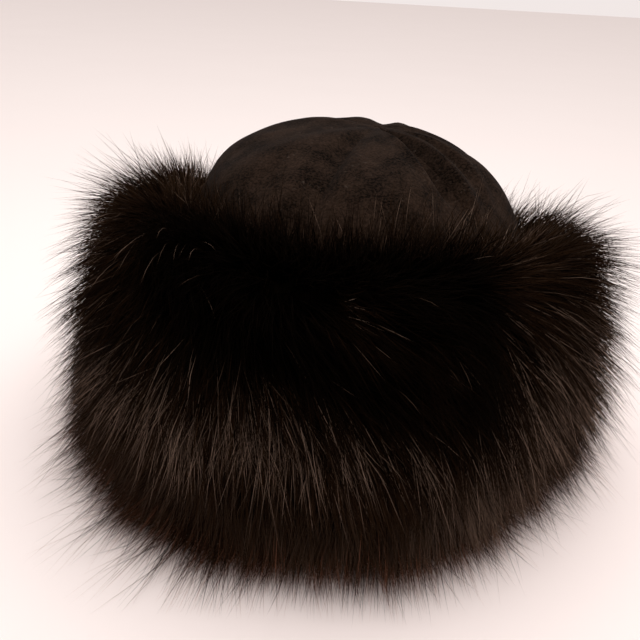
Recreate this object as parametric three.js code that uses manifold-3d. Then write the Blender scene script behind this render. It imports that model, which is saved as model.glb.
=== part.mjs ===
// A fur roller hat: a soft suede crown sewn from six gores, and a deep fur brim rolled up all round it.
// Units are millimetres. +Z is up, -Y is the front, and the hat stands on the ground at z = 0.
// A turn is an angle round the hat in degrees: 0 at the front, 90 at the wearer's left, which is +X.
import * as THREE from "three";
import { mergeVertices } from "three/addons/utils/BufferGeometryUtils.js";
import Module from "manifold-3d";

const wasm = await Module();
wasm.setup();

// The head opening is an oval for a 58 cm head, and the crown's wall stands on it.
const CROWN_HALF_WIDTH = 91;
const CROWN_HALF_DEPTH = 98;
const CROWN_HEIGHT = 162.5;
const SHOULDER_HEIGHT = 98;
const CROWN_EDGE_HEIGHT = 4;
const SUEDE_THICKNESS = 2;
const SUEDE_COLOR = 0x33281f;
const SUEDE_ROUGHNESS = 0.95;

// The dome is a superellipse that is a little squarer than a half ball. Its tip has moved to the back and
// towards +X, where the dome has also sunk a little, by a lean that grows over the first part of its rise.
const DOME_SQUARENESS = 2.4;
const DOME_SHARE = 0.56;
const TIP_SHIFT_X = 9;
const TIP_SHIFT_Y = 22;
const LEAN = 5;
const LEAN_RISE = 40;

// Six gores meet in seams, with a small gap between neighbours.
const GORE_TURN = 60;
const FIRST_SEAM_TURN = -18;
const SEAM_GAP = 0.3;
const GORES = [
  "gore_front",
  "gore_left_front",
  "gore_left_back",
  "gore_back",
  "gore_right_back",
  "gore_right_front",
];
const GORE_COLUMNS = 6;
const GORE_FALLS = [0.003, 0.03, 0.07, 0.12, 0.18, 0.25, 0.32, 0.39, 0.46, 0.53, 0.62, 1];
const NORMAL_STEP = 0.005;

// How far each gore swells between its seams, by how far down the crown it is: 0 at the tip, 1 at the edge.
// A seam sinks by its share of the puff.
const SEAM_SINK = 0.5;
const PUFFS = [
  { fall: 0, puff: 0, dip: 3 },
  { fall: 0.12, puff: 3, dip: 1 },
  { fall: 0.28, puff: 4, dip: 0 },
  { fall: 0.42, puff: 2, dip: 0 },
  { fall: 0.52, puff: 0, dip: 0 },
  { fall: 1, puff: 0, dip: 0 },
];

// The soft valleys that the suede has fallen into, with their depth and half width.
const FOLDS = [
  { turn: -18, half_width: 9, middle: 0.22, reach: 0.2, depth: 2.5 },
  { turn: 35, half_width: 9, middle: 0.18, reach: 0.2, depth: 4.5 },
  { turn: 62, half_width: 7, middle: 0.28, reach: 0.16, depth: 2 },
  { turn: 170, half_width: 12, middle: 0.22, reach: 0.18, depth: 3 },
  { turn: -95, half_width: 10, middle: 0.24, reach: 0.16, depth: 2 },
];

// The rolled brim at turns round the hat: the height of its ridge, and how far the fur stands off the crown.
const BRIM_SECTIONS = [
  { turn: -180, ridge: 104, reach: 58 },
  { turn: -125, ridge: 112, reach: 64 },
  { turn: -90, ridge: 138, reach: 70 },
  { turn: -50, ridge: 140, reach: 72 },
  { turn: 0, ridge: 141, reach: 66 },
  { turn: 50, ridge: 136, reach: 53 },
  { turn: 90, ridge: 122, reach: 58 },
  { turn: 125, ridge: 106, reach: 58 },
  { turn: 180, ridge: 104, reach: 58 },
];
const BRIM_GAP = 0.4;
const BRIM_COLUMNS = 36;
const GROUND_WIDTH = 600;
const GROUND_DEPTH = 100;
const FUR_COLOR = 0x1c130d;
const FUR_ROUGHNESS = 0.7;

// The fur's outline from the ground, over the belly and the ridge, to the crown: shares of the reach and the ridge.
const BRIM_OUTLINE = [
  { out: 0.78, up: 0 },
  { out: 0.94, up: 0.1 },
  { out: 1, up: 0.26 },
  { out: 0.96, up: 0.46 },
  { out: 0.85, up: 0.7 },
  { out: 0.67, up: 0.9 },
  { out: 0.4, up: 1 },
  { out: 0.15, up: 0.97 },
  { out: 0, up: 0.87 },
];
const OUTLINE_STEPS = 10;

// Locks of fur in rows, from the ground (0) to the crown (1). Lift is the angle in degrees off the fur's surface.
const LOCK_ROWS = [
  { at: 0.09, count: 24, length: 30, width: 40, lift: 12 },
  { at: 0.2, count: 24, length: 36, width: 40, lift: 13 },
  { at: 0.32, count: 24, length: 42, width: 40, lift: 13 },
  { at: 0.44, count: 25, length: 42, width: 38, lift: 15 },
  { at: 0.55, count: 25, length: 38, width: 36, lift: 22 },
  { at: 0.65, count: 23, length: 32, width: 34, lift: 26 },
  { at: 0.75, count: 21, length: 27, width: 32, lift: 38 },
  { at: 0.88, count: 18, length: 24, width: 30, lift: 68 },
];
const LOCK_RISE = 5;
const LOCK_ROOT_DEPTH = 9;
const LOCK_FLATNESS = 0.4;
const LOCK_SIDES = 4;
const LOCK_SWAY = 16;
const LOCK_DROOP = 0.35;
const LOCK_LENGTH_SPREAD = 0.18;
const LOCK_PLACE_SPREAD = 0.2;
const OUTLINE_STEP = 0.02;
// Along a lock: how far from root to tip, and the share of its full width there.
const LOCK_TAPER = [
  { along: 0, wide: 0.75 },
  { along: 0.4, wide: 1 },
  { along: 0.75, wide: 0.62 },
];

const radians = THREE.MathUtils.degToRad;
const smooth = (x) => THREE.MathUtils.smoothstep(x, 0, 1);

// Reads a column of some rows at a place between two of them, easing from row to row.
function blend(rows, key, at, column) {
  const next = Math.max(1, rows.findIndex((row) => row[key] >= at));
  const [low, high] = [rows[next - 1], rows[next]];
  const share = smooth((at - low[key]) / (high[key] - low[key]));
  return THREE.MathUtils.lerp(low[column], high[column], share);
}

// A repeatable scatter from -1 to 1 for the number of a lock.
function scatter(number, seed) {
  const wave = Math.sin(number * 12.9898 + seed * 78.233) * 43758.5453;
  return 2 * (wave - Math.floor(wave)) - 1;
}

// The angle from -180 to 180.
const wrapped = (turn) => THREE.MathUtils.euclideanModulo(turn + 180, 360) - 180;

// Across the dome: reach is the share of the head oval, and rise is the height, where fall runs from tip to edge.
function domeAt(fall) {
  if (fall >= DOME_SHARE) {
    const down = (fall - DOME_SHARE) / (1 - DOME_SHARE);
    return { reach: 1, rise: THREE.MathUtils.lerp(SHOULDER_HEIGHT, CROWN_EDGE_HEIGHT, down) };
  }
  const angle = ((fall / DOME_SHARE) * Math.PI) / 2;
  return {
    reach: Math.sin(angle) ** (2 / DOME_SQUARENESS),
    rise: SHOULDER_HEIGHT + (CROWN_HEIGHT - SHOULDER_HEIGHT) * Math.cos(angle) ** (2 / DOME_SQUARENESS),
  };
}

// A point of the smooth dome, before its gores swell or fold.
function domePoint(turn, fall) {
  const { reach, rise } = domeAt(fall);
  const angle = radians(turn);
  const x = CROWN_HALF_WIDTH * reach * Math.sin(angle) + TIP_SHIFT_X * (1 - reach);
  const y = -CROWN_HALF_DEPTH * reach * Math.cos(angle) + TIP_SHIFT_Y * (1 - reach);
  const lean = (-LEAN * x * smooth((rise - SHOULDER_HEIGHT) / LEAN_RISE)) / CROWN_HALF_WIDTH;
  return new THREE.Vector3(x, y, rise + lean);
}

// The outward normal of the smooth dome, from two short steps across it.
function domeNormal(turn, fall) {
  const middle = Math.max(fall, 2 * NORMAL_STEP);
  const down = domePoint(turn, middle + NORMAL_STEP).sub(domePoint(turn, middle - NORMAL_STEP));
  const across = domePoint(turn + 1, middle).sub(domePoint(turn - 1, middle));
  return down.cross(across).normalize();
}

// How far the suede stands off the smooth dome: the gores swell between seams and the folds sink.
function crownSwell(turn, fall) {
  const gore = THREE.MathUtils.euclideanModulo(turn - FIRST_SEAM_TURN, GORE_TURN) / GORE_TURN;
  const arch = Math.sin(Math.PI * gore) - SEAM_SINK;
  const swell = blend(PUFFS, "fall", fall, "puff") * arch - blend(PUFFS, "fall", fall, "dip");
  return FOLDS.reduce((height, fold) => {
    const aside = wrapped(turn - fold.turn) / fold.half_width;
    const along = (fall - fold.middle) / fold.reach;
    return height - fold.depth * Math.exp(-aside * aside) * Math.max(0, 1 - along * along);
  }, swell);
}

// A point on the suede, moved off its outer face by inset, which is positive towards the head.
function crownPoint(turn, fall, inset) {
  return domePoint(turn, fall).addScaledVector(domeNormal(turn, fall), crownSwell(turn, fall) - inset);
}

// Joins a grid of points into a closed geometry. rows[i][j] runs round in j, and open ends are capped by a ladder.
function tubeGeometry(rows, close) {
  const [count, around] = [rows.length, rows[0].length];
  const positions = rows.flat().flatMap((p) => [p.x, p.y, p.z]);
  const faces = [];
  const last = close ? count : count - 1;
  for (let i = 0; i < last; i += 1) {
    for (let j = 0; j < around; j += 1) {
      const [a, b] = [i * around + j, i * around + ((j + 1) % around)];
      const [c, d] = [((i + 1) % count) * around + j, ((i + 1) % count) * around + ((j + 1) % around)];
      faces.push(a, d, b, a, c, d);
    }
  }
  const end = (count - 1) * around;
  for (let j = 0; !close && j < around / 2 - 1; j += 1) {
    const [a, b, c, d] = [j, j + 1, around - 1 - j, around - 2 - j];
    faces.push(a, b, d, a, d, c);
    faces.push(end + a, end + d, end + b, end + a, end + c, end + d);
  }
  const geometry = new THREE.BufferGeometry();
  geometry.setAttribute("position", new THREE.Float32BufferAttribute(positions, 3));
  return geometry.setIndex(faces);
}

// A closed geometry as a solid that can be joined or cut.
function solidFrom(geometry) {
  const bare = geometry.clone();
  bare.deleteAttribute("normal");
  bare.deleteAttribute("uv");
  const merged = mergeVertices(bare, 1e-4);
  const mesh = new wasm.Mesh({
    numProp: 3,
    vertProperties: new Float32Array(merged.attributes.position.array),
    triVerts: new Uint32Array(merged.index.array),
  });
  return new wasm.Manifold(mesh);
}

function geometryFrom(solid) {
  const mesh = solid.getMesh();
  const geometry = new THREE.BufferGeometry();
  geometry.setAttribute("position", new THREE.BufferAttribute(mesh.vertProperties, 3));
  geometry.setIndex(new THREE.BufferAttribute(mesh.triVerts, 1));
  geometry.computeVertexNormals();
  return geometry;
}

// One gore: a curved wall of suede between two seams, from the tip of the crown to its edge.
function goreGeometry(index) {
  const seam = FIRST_SEAM_TURN + index * GORE_TURN;
  const rows = GORE_FALLS.map((fall) => {
    const radius = CROWN_HALF_WIDTH * domeAt(fall).reach;
    const margin = THREE.MathUtils.radToDeg(SEAM_GAP / 2 / radius);
    const face = (inset) => {
      return Array.from({ length: GORE_COLUMNS + 1 }, (_, j) => {
        const turn = seam + margin + ((GORE_TURN - 2 * margin) * j) / GORE_COLUMNS;
        return crownPoint(turn, fall, inset);
      });
    };
    return [...face(0), ...face(SUEDE_THICKNESS).reverse()];
  });
  return tubeGeometry(rows, false).toNonIndexed();
}

// The space that the crown takes up, with a gap round it, for cutting the brim.
function crownSpace() {
  const around = GORES.length * GORE_COLUMNS;
  const ring = (fall) => {
    return Array.from({ length: around }, (_, j) => {
      return crownPoint(FIRST_SEAM_TURN + (360 * j) / around, fall, -BRIM_GAP);
    });
  };
  const rows = GORE_FALLS.map(ring);
  const floor = ring(1).map((p) => new THREE.Vector3(p.x, p.y, -CROWN_EDGE_HEIGHT));
  return solidFrom(tubeGeometry([...rows, floor], false));
}

// A point of the brim at a turn: out is the distance off the crown's wall, and up is the height.
function brimPoint(turn, out, up) {
  const angle = radians(turn);
  const normal = new THREE.Vector3(Math.sin(angle) / CROWN_HALF_WIDTH, -Math.cos(angle) / CROWN_HALF_DEPTH, 0);
  const foot = new THREE.Vector3(CROWN_HALF_WIDTH * Math.sin(angle), -CROWN_HALF_DEPTH * Math.cos(angle), up);
  return foot.addScaledVector(normal.normalize(), out);
}

// The curve of the fur's outer face in its section, shrunk by inset: x is the distance out, and y is the height.
function furCurve(turn, inset) {
  const reach = blend(BRIM_SECTIONS, "turn", wrapped(turn), "reach") - inset;
  const ridge = blend(BRIM_SECTIONS, "turn", wrapped(turn), "ridge") - inset;
  return new THREE.SplineCurve(
    BRIM_OUTLINE.map(({ out, up }) => new THREE.Vector2(BRIM_GAP + out * reach, up * ridge)),
  );
}

// The rolled pelt inside the fur, as one ring round the crown.
function brimCore() {
  const rows = [];
  for (let i = 0; i < BRIM_COLUMNS; i += 1) {
    const turn = (360 * i) / BRIM_COLUMNS;
    const outer = furCurve(turn, LOCK_RISE).getPoints(OUTLINE_STEPS);
    const section = [...outer, new THREE.Vector2(BRIM_GAP, 0)];
    rows.push(section.map((p) => brimPoint(turn, p.x, p.y)));
  }
  return solidFrom(tubeGeometry(rows, true));
}

// One lock: a flat tapering tongue that leaves the pelt, sways to one side and droops to its tip.
function lockSolid(turn, row, number) {
  const here = furCurve(turn, LOCK_RISE).getPoint(row.at);
  const above = furCurve(turn, LOCK_RISE).getPoint(row.at + OUTLINE_STEP);
  const root = brimPoint(turn, here.x, here.y);
  const down = root.clone().sub(brimPoint(turn, above.x, above.y)).normalize();
  const across = brimPoint(turn + 1, here.x, here.y).sub(root).normalize();
  const normal = across.clone().cross(down).negate().normalize();
  const lift = radians(row.lift);
  const sway = radians(LOCK_SWAY * scatter(number, 1));
  const length = row.length * (1 + LOCK_LENGTH_SPREAD * scatter(number, 2));
  const lay = down.clone().multiplyScalar(Math.cos(sway)).addScaledVector(across, Math.sin(sway));
  const course = lay.multiplyScalar(Math.cos(lift)).addScaledVector(normal, Math.sin(lift));
  const sunk = root.clone().addScaledVector(normal, -LOCK_ROOT_DEPTH);
  const place = (along) => {
    const point = sunk.clone().addScaledVector(course, (length + LOCK_ROOT_DEPTH) * along);
    point.z -= LOCK_DROOP * length * along * along;
    return point;
  };
  const flat = normal.clone().multiplyScalar(LOCK_FLATNESS);
  const rings = LOCK_TAPER.map(({ along, wide }) => {
    return Array.from({ length: LOCK_SIDES }, (_, k) => {
      const angle = (2 * Math.PI * k) / LOCK_SIDES;
      const half = (row.width * wide) / 2;
      return place(along)
        .addScaledVector(across, half * Math.cos(angle))
        .addScaledVector(flat, half * Math.sin(angle));
    });
  });
  return solidFrom(lockGeometry(rings, place(1)));
}

// Closes a lock's rings with a flat root and a single point at the tip.
function lockGeometry(rings, tip) {
  const positions = [...rings.flat(), tip].flatMap((p) => [p.x, p.y, p.z]);
  const faces = [];
  const end = (rings.length - 1) * LOCK_SIDES;
  for (let k = 0; k < LOCK_SIDES; k += 1) {
    const beside = (k + 1) % LOCK_SIDES;
    for (let ring = 0; ring < end; ring += LOCK_SIDES) {
      const [a, b] = [ring + k, ring + beside];
      faces.push(a, b, b + LOCK_SIDES, a, b + LOCK_SIDES, a + LOCK_SIDES);
    }
    faces.push(end + k, end + beside, rings.length * LOCK_SIDES);
  }
  for (let k = 1; k < LOCK_SIDES - 1; k += 1) {
    faces.push(0, k + 1, k);
  }
  const geometry = new THREE.BufferGeometry();
  geometry.setAttribute("position", new THREE.Float32BufferAttribute(positions, 3));
  return geometry.setIndex(faces);
}

// The brim: every row of locks is fused to the pelt, then cut flat at the ground and clear of the crown. Only its
// outer shell is kept, which fills the pockets that locks close off between them.
function brimGeometry() {
  let fur = brimCore();
  let number = 0;
  LOCK_ROWS.forEach((row, index) => {
    for (let i = 0; i < row.count; i += 1) {
      const place = i + 0.5 * (index % 2) + LOCK_PLACE_SPREAD * scatter(number, 3);
      fur = fur.add(lockSolid((360 * place) / row.count, row, number));
      number += 1;
    }
  });
  const ground = new THREE.BoxGeometry(GROUND_WIDTH, GROUND_WIDTH, GROUND_DEPTH);
  ground.translate(0, 0, -GROUND_DEPTH / 2);
  const shells = fur.subtract(solidFrom(ground)).subtract(crownSpace()).decompose();
  return geometryFrom(shells.reduce((most, shell) => (shell.volume() > most.volume() ? shell : most)));
}

const hat = new THREE.Group();

function addPiece(name, geometry, color, roughness) {
  const piece = new THREE.Mesh(geometry, new THREE.MeshStandardMaterial({ color, roughness, metalness: 0 }));
  piece.name = name;
  hat.add(piece);
}

GORES.forEach((name, index) => addPiece(name, goreGeometry(index), SUEDE_COLOR, SUEDE_ROUGHNESS));
addPiece("fur_brim", brimGeometry(), FUR_COLOR, FUR_ROUGHNESS);

// The origin is on the ground, under the middle of the whole hat.
const box = new THREE.Box3().setFromObject(hat);
const middle = box.getCenter(new THREE.Vector3());
hat.children.forEach((piece) => piece.geometry.translate(-middle.x, -middle.y, -box.min.z));

export default hat;
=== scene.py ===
import math

import bpy
import numpy as np
from mathutils import Matrix, Vector


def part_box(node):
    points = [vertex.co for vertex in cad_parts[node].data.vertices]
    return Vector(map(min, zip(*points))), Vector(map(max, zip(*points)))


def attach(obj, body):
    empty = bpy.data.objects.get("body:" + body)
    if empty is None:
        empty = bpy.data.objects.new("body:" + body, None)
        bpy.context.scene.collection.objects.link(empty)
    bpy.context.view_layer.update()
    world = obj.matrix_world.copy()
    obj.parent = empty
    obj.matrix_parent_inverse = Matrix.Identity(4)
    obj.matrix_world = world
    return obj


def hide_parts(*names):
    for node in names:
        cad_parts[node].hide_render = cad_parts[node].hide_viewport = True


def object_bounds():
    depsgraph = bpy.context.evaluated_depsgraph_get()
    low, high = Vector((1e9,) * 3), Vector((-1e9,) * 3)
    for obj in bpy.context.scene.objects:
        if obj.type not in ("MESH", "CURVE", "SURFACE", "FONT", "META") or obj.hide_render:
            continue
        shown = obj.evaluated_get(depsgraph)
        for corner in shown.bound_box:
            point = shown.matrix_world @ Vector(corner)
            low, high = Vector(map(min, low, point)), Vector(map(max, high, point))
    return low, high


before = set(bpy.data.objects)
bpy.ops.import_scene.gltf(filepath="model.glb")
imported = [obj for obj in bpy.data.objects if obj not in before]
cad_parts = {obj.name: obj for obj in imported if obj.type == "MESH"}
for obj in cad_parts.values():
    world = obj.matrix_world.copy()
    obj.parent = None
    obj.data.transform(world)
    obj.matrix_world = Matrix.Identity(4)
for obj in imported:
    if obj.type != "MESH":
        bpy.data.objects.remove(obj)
cad_low, cad_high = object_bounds()

# The view: a phone held a forearm's length in front of the hat, looking down on it by 27 degrees and
# leaning a little. Its place is in metres from the middle of the head opening.
gores = ["gore_front", "gore_left_front", "gore_left_back"]
gores += ["gore_back", "gore_right_back", "gore_right_front"]
gore_boxes = np.array([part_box(name) for name in gores])
head_middle = (gore_boxes[:, 0].min(axis=0) + gore_boxes[:, 1].max(axis=0)) / 2
camera_from_head = Vector((-0.017, -0.351, 0.225))
camera_down_tilt = math.radians(27)
camera_roll = math.radians(3.35)

camera_data = bpy.data.cameras.new("camera")
camera_data.sensor_width = 36
camera_data.lens = 36
camera_data.clip_start = 0.01
camera = bpy.data.objects.new("camera", camera_data)
bpy.context.scene.collection.objects.link(camera)
tilt = Matrix.Rotation(math.pi / 2 - camera_down_tilt, 4, "X")
place = Matrix.Translation(Vector((head_middle[0], head_middle[1], 0)) + camera_from_head)
camera.matrix_world = place @ tilt @ Matrix.Rotation(camera_roll, 4, "Z")
bpy.context.scene.camera = camera

# The studio: a pale room that is brighter behind the hat than on the camera's side, a broad soft light
# high overhead, and a plain floor with painted light: lighter close to the hat, darker far off, and a
# painted warm tint close to the hat for the light that bounces off its fur.
light_from = Vector((0.12, 0.08, 1))
light_width = math.radians(70)
light_power = 1.9
light_colour = (1.0, 0.95, 0.92)
room_white = (1.0, 0.915, 0.893, 1)
# place from the camera's side at 0 to behind the hat at 1, and how bright the room is there
room_glow_stops = [(0.0, 0.72), (0.45, 0.76), (0.8, 0.84), (0.97, 0.885)]
floor_half = 30
floor_dim = (0.54, 0.50, 0.49, 1)
floor_painted_bounce = (0.98, 0.885, 0.865, 1)
floor_plain = (0.98, 0.935, 0.920, 1)
floor_bounce_stops = [(0.15, 0.0), (0.24, 1.0)]
floor_half_tone = 0.6
floor_cloud = 0.04
floor_cloud_waves = 3.0

scene = bpy.context.scene
scene.view_settings.view_transform = "Standard"
light_data = bpy.data.lights.new("ceiling_light", "SUN")
light_data.angle = light_width
light_data.energy = light_power
light_data.color = light_colour
light = bpy.data.objects.new("ceiling_light", light_data)
scene.collection.objects.link(light)
light.matrix_world = light_from.to_track_quat("Z", "Y").to_matrix().to_4x4()


class Socket:
    """A shader value as a Python number: each operator adds the Math node of its name."""

    def __init__(self, tree, output=None):
        self.tree = tree
        self.output = output

    def add_node(self, kind, settings=(), **inputs):
        """Adds a node of a type, with its settings and then the values or links of its sockets."""
        node = self.tree.nodes.new("ShaderNode" + kind)
        for name, value in dict(settings).items():
            if name == "stops":
                set_stops(node.color_ramp, value)
            else:
                setattr(node, name, value)
        for name, value in inputs.items():
            self.fill(find_input(node, name), value)
        return node

    def fill(self, socket, value):
        """Links a Socket to an input, or sets the input to a plain value."""
        if isinstance(value, Socket):
            self.tree.links.new(value.output, socket)
        else:
            socket.default_value = value

    def made(self, output, kind, settings=(), **inputs):
        """Adds a node, and gives its output of that name or number."""
        return Socket(self.tree, self.add_node(kind, settings, **inputs).outputs[output])

    def maths(self, operation, *values):
        """The Math node of an operation on these values."""
        node = self.add_node("Math", {"operation": operation})
        for socket, value in zip(node.inputs, values):
            self.fill(socket, value)
        return Socket(self.tree, node.outputs[0])

    def __add__(self, other):
        return self.maths("ADD", self, other)

    def __sub__(self, other):
        return self.maths("SUBTRACT", self, other)

    def __mul__(self, other):
        return self.maths("MULTIPLY", self, other)

    __rmul__ = __mul__

    def __pow__(self, other):
        return self.maths("POWER", self, other)

    def clamp(self):
        """This value, kept from 0 to 1."""
        return self.made(0, "Clamp", Value=self)

    def mix(self, low, high):
        """The colour low where this is 0, and high where it is 1."""
        colour_result = 2
        sockets = {"Factor_Float": self, "A_Color": low, "B_Color": high}
        return self.made(colour_result, "Mix", {"data_type": "RGBA"}, **sockets)

    def noise(self, scale, detail=2.0, roughness=0.5, stretch=None):
        """Noise at this place, with so many waves a metre, and fewer along an axis that is stretched."""
        place = self if stretch is None else self.stretched(stretch)
        return self.made("Fac", "TexNoise", Vector=place, Scale=scale, Detail=detail, Roughness=roughness)

    def stretched(self, factors):
        """This place, with each coordinate times its factor."""
        return self.made("Vector", "VectorMath", {"operation": "MULTIPLY"}, Vector=self, Vector_001=factors)

    def ramp(self, *stops):
        """A smooth curve through (place, value) stops, read at this value."""
        return self.made("Color", "ValToRGB", {"stops": stops}, Fac=self)


def find_input(node, name):
    """The input of a node by its identifier or its name."""
    for socket in node.inputs:
        if socket.identifier == name:
            return socket
    return node.inputs[name.replace("_", " ")]


def set_stops(ramp, stops):
    """Puts (place, value or colour) stops into a colour ramp."""
    while len(ramp.elements) < len(stops):
        ramp.elements.new(1)
    for element, (position, value) in zip(ramp.elements, stops):
        element.position = position
        element.color = value if isinstance(value, tuple) else (value, value, value, 1)


def new_material(name, roughness, shine):
    """A material with nodes, its principled shader, and a Socket that other nodes are made from."""
    material = bpy.data.materials.new(name)
    material.use_nodes = True
    shader = material.node_tree.nodes["Principled BSDF"]
    shader.inputs["Roughness"].default_value = roughness
    shader.inputs["Specular IOR Level"].default_value = shine
    return material, shader, Socket(material.node_tree)


def feed(shader, name, value):
    """Links a value to a socket of the shader."""
    shader.id_data.links.new(value.output, shader.inputs[name])


def feed_bump(shader, height, strength, distance):
    """Lets a height in 0 to 1 tip the surface, as if it were so many metres deep."""
    bumps = {"Height": height, "Strength": strength, "Distance": distance}
    feed(shader, "Normal", height.made("Normal", "Bump", **bumps))


room = bpy.data.worlds.new("room")
scene.world = room
room.use_nodes = True
room_nodes = Socket(room.node_tree)
room_view = room_nodes.made("Generated", "TexCoord")
room_back = room_nodes.made("Y", "SeparateXYZ", Vector=room_view) * 0.5 + 0.5
room_colour = room_back.ramp(*room_glow_stops).mix((0, 0, 0, 1), room_white)
room.node_tree.links.new(room_colour.output, room.node_tree.nodes["Background"].inputs["Color"])

# painted light on the floor: its tone falls with the distance from the hat, as half_tone / (half_tone +
# distance)
floor_material, floor_shader, floor_nodes = new_material("pale_floor", roughness=0.6, shine=0.0)
floor_place = floor_nodes.made("Object", "TexCoord")
floor_distance = floor_nodes.made("Value", "VectorMath", {"operation": "LENGTH"}, Vector=floor_place)
painted_floor_light = (floor_distance + floor_half_tone) ** -1 * floor_half_tone
floor_tone = (painted_floor_light + floor_cloud * floor_place.noise(floor_cloud_waves)).clamp()
# close to the hat the floor is painted warmer, as painted bounce light from the fur
floor_white = floor_distance.ramp(*floor_bounce_stops).mix(floor_painted_bounce, floor_plain)
feed(floor_shader, "Base Color", floor_tone.mix(floor_dim, floor_white))
floor_data = bpy.data.meshes.new("floor")
floor_corners = [(-floor_half, -floor_half, 0), (floor_half, -floor_half, 0)]
floor_corners += [(floor_half, floor_half, 0), (-floor_half, floor_half, 0)]
floor_data.from_pydata(floor_corners, [], [(0, 1, 2, 3)])
floor_data.materials.append(floor_material)
floor = bpy.data.objects.new("floor", floor_data)
scene.collection.objects.link(floor)

# The crown: six pointed gores of soft dark suede with their nap outwards, sewn to each other and to the
# brim. It stands by the stiffness of its hide, puffs out between its seams and has fallen into soft folds.
crown_half_width = 0.091
crown_half_depth = 0.098
crown_height = 0.1625
shoulder_height = 0.098
crown_edge_height = 0.004
suede_thickness = 0.002
dome_squareness = 2.4
dome_share = 0.56
tip_shift_x = 0.009
tip_shift_y = 0.022
crown_lean = 0.005
lean_rise = 0.04
gore_turn = 60
first_seam_turn = -18
seam_gap = 0.00004
seam_sink = 0.5
# one seam lies eased flat: where, how far to each side, and how much of its swell is gone
soft_seam_turn = -78
soft_seam_reach = 24
soft_seam_share = 0.75
# beside a seam, by degrees aside: the groove of the stitches, and the low roll of the turned-in edge
groove_depth = 0.0005
groove_half = 2.2
roll_height = 0.0002
roll_middle = 4.0
roll_half = 1.8
least_share = 0.02
# the slow ripple of the hide, and how far down from the tip it and the folds are at their full height
suede_ripple = {"seed": 4, "size": 0.0012}
ripple_start = 0.08
fold_start = 0.02
gore_puffs = {
    "fall": [0, 0.12, 0.28, 0.42, 0.52, 1],
    "puff": [0, 0.0022, 0.003, 0.0015, 0, 0],
    "dip": [0.0018, 0.001, 0, 0, 0, 0],
}
# turn, degrees that it slants by down the crown, half width in degrees, middle and reach down, depth
crown_folds = [
    (-18, 0, 9, 0.22, 0.20, 0.0025),
    (35, 0, 9, 0.18, 0.20, 0.0064),
    (62, 0, 7, 0.28, 0.16, 0.0020),
    (170, 0, 12, 0.22, 0.18, 0.0030),
]
# the same, for the finer folds and the crests that the hide has between those
small_folds = [
    (-23, 20, 5, 0.20, 0.14, 0.0012),
    (-14, 10, 3, 0.20, 0.16, -0.0012),
    (27, 45, 4, 0.18, 0.16, -0.0034),
    (33, 43, 4, 0.16, 0.16, 0.0045),
    (48, -20, 4, 0.18, 0.16, -0.0026),
    (60, -65, 3.5, 0.20, 0.16, 0.0022),
    (67, -65, 3, 0.20, 0.16, -0.0015),
    (4, 15, 8, 0.18, 0.12, 0.0008),
    (-42, 20, 7, 0.26, 0.14, 0.0010),
    (95, 0, 5, 0.30, 0.14, -0.0009),
    (130, 0, 8, 0.26, 0.18, 0.0014),
    (150, 0, 5, 0.20, 0.14, -0.0010),
    (-160, 0, 6, 0.25, 0.15, 0.0012),
    (-130, 0, 6, 0.22, 0.16, -0.0010),
]


def smooth(x):
    """Eases from 0 to 1 as x does, flat at both ends: 3x² - 2x³."""
    x = np.clip(x, 0, 1)
    return x * x * (3 - 2 * x)


def eased(at, places, values):
    """Values between the rows of a short table, easing from row to row."""
    places = np.asarray(places, float)
    values = np.asarray(values, float)
    row = np.clip(np.searchsorted(places, at, side="right") - 1, 0, len(places) - 2)
    share = smooth((at - places[row]) / (places[row + 1] - places[row]))
    return values[row] + (values[row + 1] - values[row]) * share


def wrapped(turn):
    """The angle from -180 to 180 degrees."""
    return (turn + 180) % 360 - 180


def dome_point(turn, fall):
    """A superellipse dome on an oval wall: fall is 0 at the tip, dome_share at the shoulder, 1 at the edge.

    On the dome the reach from the tip is sin(a) to the power 2 / squareness and the rise is the same of
    cos(a). The tip is shifted, and the dome leans down to one side.
    """
    angle = np.clip(fall / dome_share, 0, 1) * math.pi / 2
    on_wall = fall >= dome_share
    reach = np.where(on_wall, 1, np.sin(angle) ** (2 / dome_squareness))
    domed = shoulder_height + (crown_height - shoulder_height) * np.cos(angle) ** (2 / dome_squareness)
    down = (fall - dome_share) / (1 - dome_share)
    rise = np.where(on_wall, shoulder_height + (crown_edge_height - shoulder_height) * down, domed)
    x = crown_half_width * reach * np.sin(np.radians(turn)) + tip_shift_x * (1 - reach)
    y = -crown_half_depth * reach * np.cos(np.radians(turn)) + tip_shift_y * (1 - reach)
    rise = rise - crown_lean * x * smooth((rise - shoulder_height) / lean_rise) / crown_half_width
    return np.stack([x + head_middle[0], y + head_middle[1], rise], axis=-1)


def dome_normal(turn, fall):
    """The outward normal of the dome, from two short steps across it."""
    step = 0.005
    middle = np.maximum(fall, 2 * step)
    down = dome_point(turn, middle + step) - dome_point(turn, middle - step)
    across = dome_point(turn + 1, middle) - dome_point(turn - 1, middle)
    normal = np.cross(down, across)
    return normal / np.linalg.norm(normal, axis=-1, keepdims=True)


def fold_depth(turn, fall, folds):
    """Valleys that run down the crown, each a bell across and a parabola along its reach."""
    depth = np.zeros(np.broadcast(turn, fall).shape)
    for fold_turn, slant, half_width, middle, reach, deep in folds:
        aside = wrapped(turn - fold_turn - slant * (fall - middle)) / half_width
        along = (fall - middle) / reach
        depth = depth + deep * np.exp(-aside * aside) * np.maximum(0, 1 - along * along)
    return depth


def ripple(turn, fall, seed, size):
    """A slow random wave over the hat, about size high.

    It is the mean of six sines, each with 2 to 11 waves round the hat, and a random rate down it.
    """
    random = np.random.default_rng(seed)
    waves = 6
    fewest_around = 2
    most_around = 11
    rate_limits = (6, 26)
    any_phase = (0, 6.3)
    x = np.radians(turn)
    total = 0
    for _ in range(waves):
        around = random.integers(fewest_around, most_around + 1)
        rate = random.uniform(*rate_limits)
        total = total + np.sin(around * x + rate * fall + random.uniform(*any_phase))
    return total * size / waves


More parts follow.
